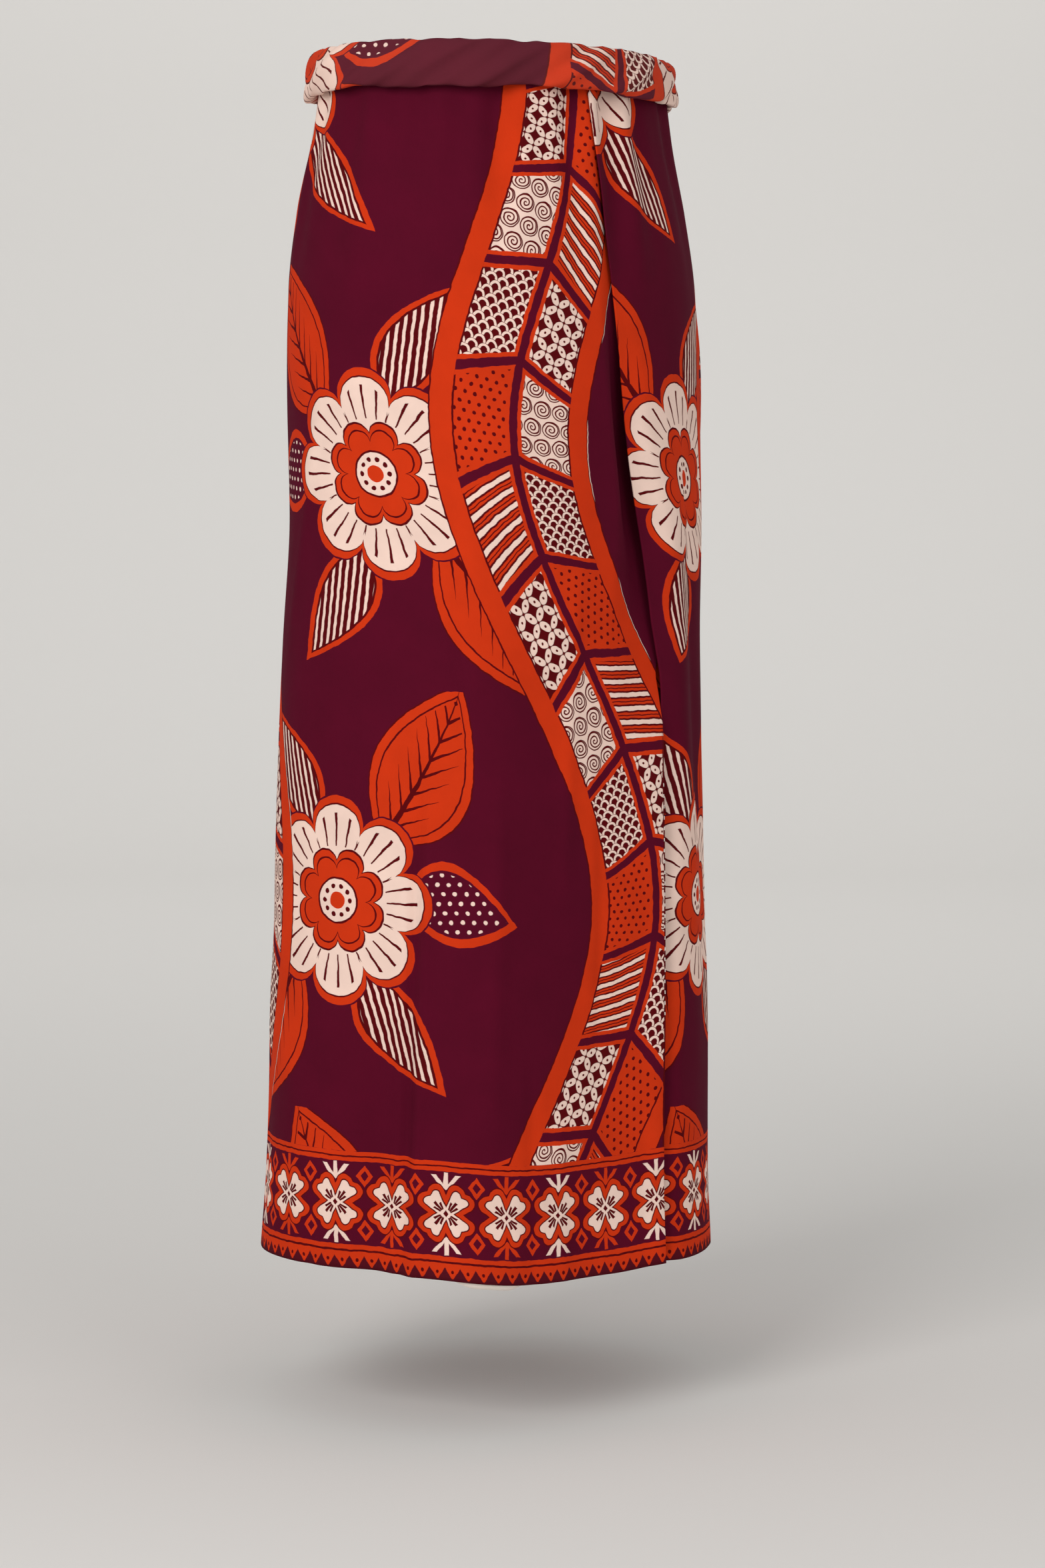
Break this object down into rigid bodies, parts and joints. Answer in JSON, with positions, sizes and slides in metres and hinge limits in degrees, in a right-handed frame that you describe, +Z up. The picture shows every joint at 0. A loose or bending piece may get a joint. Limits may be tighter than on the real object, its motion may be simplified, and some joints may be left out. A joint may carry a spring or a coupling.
{
  "type": "sarong, worn",
  "caption": "Ankle-length batik sarong in its worn shape: a hollow cotton tube with a rolled waist and a long pleat folded over at the front.",
  "frame": {"origin": "middle of the waist, level with the top of the rolled edge, where the wearer holds the garment up", "axes": "+Z up along the wearer's body; -Y is the wearer's front and -X the wearer's right side"},
  "size_m": [0.3808, 0.343, 0.9208],
  "materials": {
    "batik_cotton": "plain-woven cotton, soft and matt, with a wax-resist print in aubergine, orange-red and cream",
    "batik_cotton_inner": "the same cotton seen from its back and in the open pleat, a little paler and duller",
    "batik_cotton_roll": "the same cotton rolled over on itself at the waist"
  },
  "bodies": {
    "root": {"right_panel": "batik_cotton", "left_panel": "batik_cotton", "inner_layer": "batik_cotton_inner", "waist_roll": "batik_cotton_roll"}
  },
  "joints": []
}
